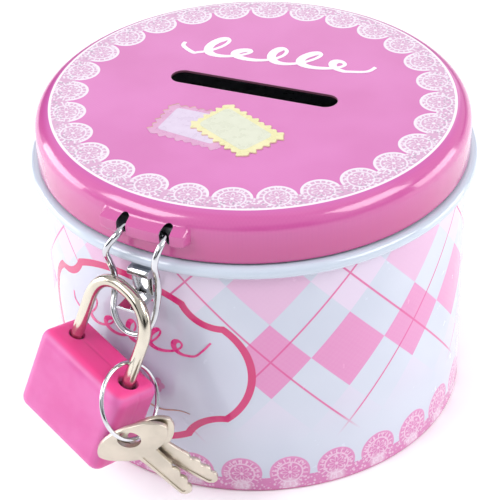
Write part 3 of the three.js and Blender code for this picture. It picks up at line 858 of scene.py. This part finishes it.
def build_prints():
    T = LID_TOP
    # two blank paper labels printed in front of the slot
    back = [on_top(*p) for p in ((336, 539), (452, 592), (411, 696), (292, 624))]
    back_o = [on_top(*p) for p in ((326, 528), (470, 590), (420, 716), (276, 634))]
    front = [on_top(*p) for p in ((446, 546), (542, 668), (474, 727), (380, 611))]
    front_o = [on_top(*p) for p in ((446, 534), (562, 672), (474, 745), (366, 612))]
    patch("label_back_line", deckle([(x - 0.16, y + 0.2) for x, y in back_o], 8, 6, 0.62, 0.06, 0.7), T + 0.006, T + 0.02, TAG_LINE, "lid")
    patch("label_back_edge", deckle(back_o, 8, 6, 0.62, 0.0, 0.7), T + 0.012, T + 0.032, TAG_ROSE, "lid")
    patch("label_back", rquad(back, 0.9), T + 0.02, T + 0.045, TAG_LILAC, "lid")
    patch("label_front_shadow", deckle([(x + 0.2, y - 0.24) for x, y in front_o], 9, 6, 0.68, 0.06), T + 0.03, T + 0.052, TAG_LINE, "lid")
    patch("label_front_edge", deckle(front_o, 9, 6, 0.66), T + 0.04, T + 0.066, TAG_EDGE, "lid")
    patch("label_front", rquad(front, 1.3), T + 0.05, T + 0.08, TAG_CREAM, "lid")
    # a plain flourish above the slot: one long looping stroke, no letters
    W = lambda lo, hi: (lambda u, t: lo + (hi - lo) * max(0.0, min(1.0, 0.45 - t.y * 0.75)) * min(1.0, 14 * u, 14 * (1 - u)))
    ax = Vector(on_top(352, 262)); bx = Vector(on_top(768, 396))
    ex = (bx - ax).normalized(); ey = Vector((-ex.y, ex.x)); L = (bx - ax).length

    def sw(u, v):
        q = ax + ex * (u * L) + ey * v
        return (q.x, q.y)

    loops = []
    nl = 5
    for k in range(nl * 24 + 1):
        t = k / 24.0
        big = 2.45 + 0.95 * math.cos(2 * math.pi * (t - 0.5) / 2.5)
        v = big * (1 - math.cos(2 * math.pi * t)) - 2.1
        loops.append(sw(0.05 + 0.86 * t / nl + (2.6 * math.sin(2 * math.pi * t) + 0.4 * v) / L, v))
    ribbon("lid_flourish", [sw(-0.02, 1.6), sw(-0.015, 0.0)] + loops[1:] + [sw(0.985, -1.2), sw(1.02, 0.8)], W(0.75, 1.7), T + 0.012, T + 0.036, INK_WHITE, "lid")

    # the same kind of stroke on the drum's cartouche
    R0 = WALL_R
    mid = -14.2

    def onto(x, y, h):
        a = rad(mid) + x / R0
        r = R0 + h
        return (r * math.sin(a), -r * math.cos(a), 27.5 + y)

    pts = [(-15.0, 6.5), (-14.6, 4.6)]
    for k in range(1, 5 * 20 + 1):
        t = k / 20.0
        big = 2.0 + 0.7 * math.cos(2 * math.pi * (t - 0.5) / 2.5)
        v = big * (1 - math.cos(2 * math.pi * t))
        pts.append((-12.6 + 4.9 * t + 1.9 * math.sin(2 * math.pi * t) + 0.45 * v, 3.4 + v))
    pts += [(13.6, 3.6), (15.2, 5.2), (16.6, 7.0)]
    ribbon("drum_flourish", pts, W(0.4, 1.05), 0.012, 0.04, INK_PINK, "box_body", onto)
    # small rosette under it
    for i, (cx, cy, rr) in enumerate(((0.0, -3.6, 2.6), (-5.6, -5.0, 1.7), (5.6, -5.0, 1.7))):
        ring = []
        for k in range(100):
            a = 2 * math.pi * k / 100
            q = rr * (0.72 + 0.28 * abs(math.cos(2.5 * a)))
            ring.append((cx + q * math.cos(a), cy + q * math.sin(a)))
        for nm, f, z0, z1, mt in (("petals", 1.0, 0.012, 0.034, TAG_ROSE), ("eye", 0.3, 0.03, 0.055, INK_PINK)):
            n = len(ring)
            pts2 = [(cx + (x - cx) * f, cy + (y - cy) * f) for x, y in ring]
            verts = [onto(x, y, z0) for x, y in pts2] + [onto(x, y, z1) for x, y in pts2] + [onto(cx, cy, z0), onto(cx, cy, z1)]
            faces = [(k, (k + 1) % n, n + (k + 1) % n, n + k) for k in range(n)]
            faces += [(k, 2 * n, (k + 1) % n) for k in range(n)] + [(n + k, n + (k + 1) % n, 2 * n + 1) for k in range(n)]
            put(obj_from(f"drum_rosette_{nm}_{i+1}", verts, faces, [mt], None, None, 60), "box_body")
    # thin underline
    ribbon("drum_underline", [(-8 + k * 1.0, -10.2 + 0.35 * math.sin(k * 0.78)) for k in range(21)], lambda u, t: 0.12 + 0.3 * math.sin(math.pi * u), 0.012, 0.035, TAG_LINE, "box_body", onto)


# ------------------------------------------------------------------ hasp, staple, hinge
def build_hasp():
    pts = [[0.9, BAR_Y, BAR_Z], [LEG_XR, BAR_Y, BAR_Z], [LEG_XR, -43.4, 56.6], [4.3, -44.9, 53.8], [4.0, -43.4, 48.6], [3.9, -43.6, 45.4],
           [3.6, -45.2, 41.2], [1.6, -46.2, 38.2], [-2.2, -46.2, 38.2], [-4.6, -45.2, 41.0], [-5.5, -42.5, 44.0], [-5.5, -42.25, 47.4], [-5.5, -44.9, 53.6], [LEG_XL, -43.4, 56.6], [LEG_XL, BAR_Y, BAR_Z], [0.5, BAR_Y, BAR_Z]]
    radii = [0, 1.2, 1.3, 1.6, 2.6, 2.2, 2.4, 2.6, 2.6, 2.4, 2.0, 1.4, 1.6, 1.3, 1.2, 0]
    path = resample(rounded(pts, 1.2, 12, radii), 0.3)
    o = tube("hasp_bail", path, WIRE_D / 2, 20, [CHROME], matrix=HASP, round_ends=0.4)
    put(o, "hasp", "hasp_wire")
    put(refine("staple", "staple_plate", [CHROME], 0.14, 25, 3), "box_body", "staple")
    for node in ("hinge_leaf_body", "hinge_leaf_lid"):
        put(refine(node, node + "_fine", [CHROME], 0.16, 40, 2), "box_body" if "body" in node else "lid", node)
    hp = revolve("hinge_pin_fine", [(0, -7.2), (0.55, -7.2), (0.72, -7.05), (0.75, -6.8), (0.75, 6.8), (0.72, 7.05), (0.55, 7.2), (0, 7.2)],
                 [rad(a) for a in range(0, 360, 10)], [CHROME], matrix=HASP @ Matrix.Translation((0, HINGE_Y, HINGE_Z)) @ Matrix.Rotation(rad(90), 4, "Y"))
    put(hp, "box_body", "hinge_pin")
    for part, body, z, y0, y1, h in (("body", "box_body", 42.0, WALL_R - 0.5 - 0.6, WALL_R + 1.3, 0.55), ("lid", "lid", 56.3, LID_R - 0.5 - 0.45, LID_R + 1.3, 0.25)):
        for side, x in (("left", -4), ("right", 4)):
            prof = [(0, y0 - h), (1.1, y0 - h), (1.4, y0 - h * 0.75), (1.5, y0 - h * 0.3), (1.45, y0), (0.8, y0), (0.8, y1), (1.62, y1), (1.7, y1 + 0.12)]
            prof += [(1.7 * math.cos(rad(a)), y1 + 0.12 + 0.66 * math.sin(rad(a))) for a in range(12, 90, 13)] + [(0, y1 + 0.78)]
            m = HASP @ Matrix.Translation((x, 0, z)) @ Matrix.Rotation(rad(-90), 4, "X")
            o = revolve(f"rivet_{part}_{side}", prof, [rad(a) for a in range(0, 360, 9)], [NICKEL], matrix=m)
            put(o, body, f"hinge_rivet_{part}_{side}")


# ------------------------------------------------------------------ padlock
def build_lock():
    # shackle: straight legs and a bow with slightly squared shoulders
    path = [Vector((-HALF, 0, z)) for z in np.linspace(HEEL_Z, -8.6, 18)]
    n = 2.35
    for k in range(1, 48):
        a = math.pi * (1 - k / 48)
        c, s = math.cos(a), math.sin(a)
        path.append(Vector((HALF * math.copysign(abs(c) ** (2 / n), c), 0, -7.6 + 7.6 * abs(s) ** (2 / n))))
    path += [Vector((HALF, 0, z)) for z in np.linspace(-8.6, TOE_Z, 14)]
    o = tube("shackle_bow", path, SH_D / 2, 32, [NICKEL], matrix=None, up=(0, 1, 0), round_ends=0.25)
    notch = prism("n0", [(HALF - 0.25, LATCH_Z + 1.1), (HALF - 0.25, LATCH_Z - 0.8), (HALF - 0.8, LATCH_Z - 1.45), (HALF - 2, LATCH_Z - 1.45), (HALF - 2, LATCH_Z + 1.1)], -2, 2, [NICKEL])
    s = Matrix.Diagonal((MM, MM, MM, 1))
    notch.data.transform(Matrix.Rotation(rad(90), 4, "X"))
    cut(o, [notch], smooth=40)
    o.data.transform(s @ LOCK @ s.inverted())
    put(o, "shackle", "shackle")

    # soft cover
    hx, hy, hz, r = COVER_W / 2, COVER_D / 2, COVER_H / 2, 2.1
    nx, ny, nz = 54, 40, 46
    verts, faces, index = [], [], {}

    def vert(i, j, k):
        key = (i, j, k)
        if key not in index:
            p = np.array([-hx + 2 * hx * i / nx, -hy + 2 * hy * j / ny, -hz + 2 * hz * k / nz])
            q = np.clip(p, [-hx + r, -hy + r, -hz + r], [hx - r, hy - r, hz - r])
            d = p - q
            L = np.linalg.norm(d)
            nn = d / L if L > 0 else d
            p = q + nn * r
            ux, uy, uz = p[0] / hx, p[1] / hy, p[2] / hz
            # faces a little hollow at the edges and full in the middle
            if abs(nn[1]) > 0.99:
                p[1] += math.copysign(0.10 * (1 - ux ** 2) * (1 - uz ** 2) - 0.08, p[1])
            if nn[2] > 0.99:
                p[2] += 0.05 * (1 - ux ** 4) * (1 - uy ** 4) - 0.05
                p[2] -= 0.16 * math.exp(-((p[1] - 0.1) / 0.17) ** 2) + 0.06 * (1 if p[1] > 0.1 else 0)
            if abs(nn[0]) > 0.7:
                p[0] -= math.copysign(0.10 * math.exp(-((p[1] - 0.1) / 0.17) ** 2), p[0])
            index[key] = len(verts)
            verts.append((p[0] + COVER_X, p[1], p[2] + TOP_Z - hz))
        return index[key]

    for i in range(nx):
        for j in range(ny):
            for k in (0, nz):
                faces.append((vert(i, j, k), vert(i + 1, j, k), vert(i + 1, j + 1, k), vert(i, j + 1, k)))
    for i in range(nx):
        for k in range(nz):
            for j in (0, ny):
                faces.append((vert(i, j, k), vert(i + 1, j, k), vert(i + 1, j, k + 1), vert(i, j, k + 1)))
    for j in range(ny):
        for k in range(nz):
            for i in (0, nx):
                faces.append((vert(i, j, k), vert(i, j + 1, k), vert(i, j + 1, k + 1), vert(i, j, k + 1)))
    o = obj_from("lock_cover", verts, faces, [VINYL], None, None, 40)
    cw, cd = COVER_W - 2 * COVER_T, COVER_D - 2 * COVER_T
    inner = prism("c0", [(COVER_X - cw / 2, -cd / 2), (COVER_X + cw / 2, -cd / 2), (COVER_X + cw / 2, cd / 2), (COVER_X - cw / 2, cd / 2)], TOP_Z - COVER_H - 2, TOP_Z - COVER_T, [VINYL], 0.6, 3)

    def flare(x, rr, lip):
        prof = [(0, TOP_Z - 4), (rr, TOP_Z - 4), (rr, TOP_Z - 1.0)]
        prof += [(rr + lip * (1 - math.cos(rad(a))), TOP_Z - 1.0 + 1.05 * math.sin(rad(a))) for a in (20, 40, 60, 80)]
        prof += [(rr + lip + 0.6, TOP_Z + 1.5), (0, TOP_Z + 1.5)]
        return revolve("c", prof, [rad(a) for a in range(0, 360, 9)], [VINYL], matrix=Matrix.Translation((x, 0, 0)))

    cut(o, [inner, flare(-HALF, SH_D / 2 + 0.16, 0.4), flare(HALF, SH_D / 2 + 0.5, 0.5)], smooth=35)
    o.data.transform(s @ LOCK @ s.inverted())
    put(o, "lock_case", "padlock_cover")

    put(refine("padlock_case", "lock_case_body", [NICKEL], 0.2, 40, 2), "lock_case", "padlock_case")
    put(refine("padlock_end_plate", "lock_end_plate", [NICKEL], 0.12, 40, 2), "lock_case", "padlock_end_plate")
    put(refine("key_plug", "lock_key_plug", [BRASS], 0.1, 40, 2), "key_plug", "key_plug")
    put(refine("latch_bolt", "lock_latch_bolt", [BRASS], 0.15, 40, 2), "latch_bolt", "latch_bolt")

    def helix(name, node, rr, pitch, turns, d, m):
        pth = [Vector((rr * math.cos(a), rr * math.sin(a), a / (2 * math.pi) * pitch)) for a in np.linspace(0, turns * 2 * math.pi, int(turns * 32))]
        put(tube(name, pth, d / 2, 12, [STEEL], matrix=m, round_ends=0.3), "lock_case", node)

    helix("lock_latch_spring", "latch_spring", 0.45, 0.4, 3, 0.22, LOCK @ Matrix.Translation((-2.05, 0, LATCH_Z)) @ Matrix.Rotation(rad(90), 4, "Y"))
    helix("lock_shackle_spring", "shackle_spring", 0.95, 0.48, 3, 0.3, LOCK @ Matrix.Translation((-HALF, 0, HEEL_Z - 2.05)))


# ------------------------------------------------------------------ ring and keys
def build_keys():
    lm = lock_matrix()
    leg = lm @ Vector((HALF, 0, TOP_Z + 1.4))
    e2 = Vector((0.25, -0.58, -0.775)).normalized()
    e1 = Vector((0.2657, 0.9147, -0.307))
    e1 = (e1 - e2 * e1.dot(e2)).normalized()
    c = leg + e2 * 4.3
    path = []
    n = 200
    for k in range(n + 1):
        t = k / n
        a = -math.pi / 2 + 0.02 + t * (2 * math.pi - 0.04)
        path.append(c + e1 * RING_R * math.cos(a) + e2 * RING_R * math.sin(a))
    put(tube("ring_wire", path, RING_WIRE / 2, 18, [CHROME], matrix=HASP, round_ends=0.5), "key_ring", "key_ring")

    def bez(p0, p1, p2, p3, k=14):
        out = []
        for i in range(1, k + 1):
            t = i / k
            out.append(tuple((1 - t) ** 3 * p0[q] + 3 * (1 - t) ** 2 * t * p1[q] + 3 * (1 - t) * t * t * p2[q] + t ** 3 * p3[q] for q in (0, 1)))
        return out

    o = [(-7.4, 0.4)]
    o += bez(o[-1], (-6.6, 3.0), (-3.2, 3.9), (0, 3.9))
    o += bez(o[-1], (3.2, 3.9), (6.6, 3.0), (7.4, 0.4))
    o += bez(o[-1], (7.2, -1.6), (4.6, -3.2), (2.2, -3.6))
    bit = [(2.0, -6.0), (2.0, -8.6), (1.3, -9.3), (1.9, -10.1), (1.9, -11.2), (1.1, -12.0), (1.6, -12.9), (1.6, -13.8), (0.8, -14.6), (1.2, -15.4), (0.4, -16.6), (-0.8, -16.8), (-1.7, -16.0), (-1.8, -6.0), (-2.0, -3.6)]
    soft = rounded([(2.2, -3.6, 0)] + [(x, y, 0) for x, y in bit], 0.45, 5)
    o += [(p.x, p.y) for p in soft[1:]]
    o += bez(o[-1], (-4.6, -3.2), (-7.2, -1.6), (-7.4, 0.4))[:-1]
    o.reverse()

    U, B, t = Vector((0.793, 0.273, 0.548)), Vector((0.4363, 0.3700, -0.8150)), rad(14)
    s = Matrix.Diagonal((MM, MM, MM, 1))
    for name, ang, ub, bl, off in (("key_1", math.pi / 2 - 0.07, U, B, 0.4), ("key_2", math.pi / 2 - 0.40, U * math.cos(t) - B * math.sin(t), B * math.cos(t) + U * math.sin(t), 0.1)):
        k = prism(name + "_blade", o, -KEY_T / 2, KEY_T / 2, [KEYMET], 0.13, 3, None, 40)
        hole = prism("h0", [(KEY_HOLE / 2 * math.cos(a), 1.2 + KEY_HOLE / 2 * math.sin(a)) for a in np.linspace(0, 2 * math.pi, 41)[:-1]], -2, 2, [KEYMET])
        g1 = prism("g1", stadium(12.0, 0.75, 8), KEY_T / 2 - 0.18, 2, [KEYMET], matrix=Matrix.Translation((-0.75, -9.9, 0)) @ Matrix.Rotation(rad(90), 4, "Z"))
        g2 = prism("g2", stadium(12.0, 0.75, 8), -2, -KEY_T / 2 + 0.18, [KEYMET], matrix=Matrix.Translation((0.35, -9.0, 0)) @ Matrix.Rotation(rad(90), 4, "Z"))
        cut(k, [hole, g1, g2], smooth=40)
        k.data.transform(Matrix.Translation((0, -1.2 * MM, 0)))
        Un = ub.normalized()
        Bn = (bl - Un * bl.dot(Un)).normalized()
        Y, Z = -Bn, Un.cross(-Bn)
        p = c + e1 * RING_R * math.cos(ang) + e2 * RING_R * math.sin(ang) + Y * off
        m = Matrix((Un, Y, Z)).transposed().to_4x4()
        m.translation = p
        k.data.transform(s @ (HASP @ m) @ s.inverted())
        put(k, name, name)


build_drum()
build_lid()
build_prints()
build_hasp()
build_lock()
build_keys()

# ------------------------------------------------------------------ camera
cam_data = bpy.data.cameras.new("camera")
cam_data.sensor_width = 36.0
cam_data.lens = 131.3
cam = bpy.data.objects.new("camera", cam_data)
COL.objects.link(cam)
loc, aim = Vector((109.1, -271.0, 231.7)) * MM, Vector((-1.25, -0.5, 26.85)) * MM
d = (aim - loc).normalized()
q = d.to_track_quat("-Z", "Y")
cam.rotation_mode = "QUATERNION"
cam.rotation_quaternion = q @ Matrix.Rotation(rad(-1.782), 3, "Z").to_quaternion()
cam.location = loc
cam_data.clip_start, cam_data.clip_end = 0.01, 20.0
bpy.context.scene.camera = cam

# ------------------------------------------------------------------ floor and light
fm, fnt, fb = material("floor_paper", (250, 250, 251), 0.6, 0.0)
fx, fy, fz, fv = coords(fnt)
link(fnt, mix(fnt, noise(fnt, fv, 0.02, 3.0), (249, 249, 251), (252, 252, 252)), fb.inputs["Base Color"])
floor = obj_from("floor", [(-1500, -1500, -0.05), (1500, -1500, -0.05), (1500, 1500, -0.05), (-1500, 1500, -0.05)], [(0, 1, 2, 3)], [fm])

world = bpy.data.worlds.new("studio")
bpy.context.scene.world = world
world.use_nodes = True
wn = world.node_tree
bg = wn.nodes["Background"]
tc = wn.nodes.new("ShaderNodeTexCoord")
sp = wn.nodes.new("ShaderNodeSeparateXYZ")
wn.links.new(tc.outputs["Generated"], sp.inputs[0])
wx, wy, wz = (E(wn, sp.outputs[i]) for i in range(3))
az = wx.atan2(-wy)                     # 0 towards the front, positive to the right
# grey panels low at the front and sides give the metal something dark to reflect
low = wz.below(0.42, 0.16) * wz.above(-0.05, 0.05)
panel = (az - 0.55).abs().below(0.34, 0.08).max((az + 0.62).abs().below(0.2, 0.06)).max((az - 1.9).abs().below(0.25, 0.1)).max((az + 2.2).abs().below(0.3, 0.1))
horizon = (wz - 0.10).abs().below(0.055, 0.025)
link(wn, mix(wn, (low * panel).max(horizon * 0.85), (250, 250, 255), (16, 16, 19)), bg.inputs["Color"])
bg.inputs["Strength"].default_value = 0.74


def area(name, loc, aim, w, h, power, color=(1, 1, 1)):
    l = bpy.data.lights.new(name, "AREA")
    l.shape, l.size, l.size_y, l.energy, l.color = "RECTANGLE", w, h, power, color
    o = bpy.data.objects.new(name, l)
    COL.objects.link(o)
    o.location = loc
    o.rotation_mode = "QUATERNION"
    o.rotation_quaternion = (Vector(aim) - Vector(loc)).to_track_quat("-Z", "Y")


area("box_left", (-0.371, -0.389, 0.50), (0, 0, 0.055), 0.42, 0.30, 2.6)
area("box_right", (0.537, -0.019, 0.50), (0, 0, 0.055), 0.42, 0.30, 2.3)
area("side_left", (-0.75, -0.05, 0.16), (0, 0, 0.03), 0.5, 0.3, 2.4)
area("side_right", (0.72, 0.42, 0.16), (0, 0, 0.03), 0.5, 0.3, 2.2)
area("top", (0.05, 0.18, 0.85), (0, 0, 0.03), 0.7, 0.6, 0.5)
area("back", (-0.25, 0.75, 0.45), (0, 0, 0.04), 0.8, 0.4, 0.7)

vs = bpy.context.scene.view_settings
vs.view_transform = "Standard"
vs.look = "None"
vs.exposure = 0.0
vs.gamma = 1.0
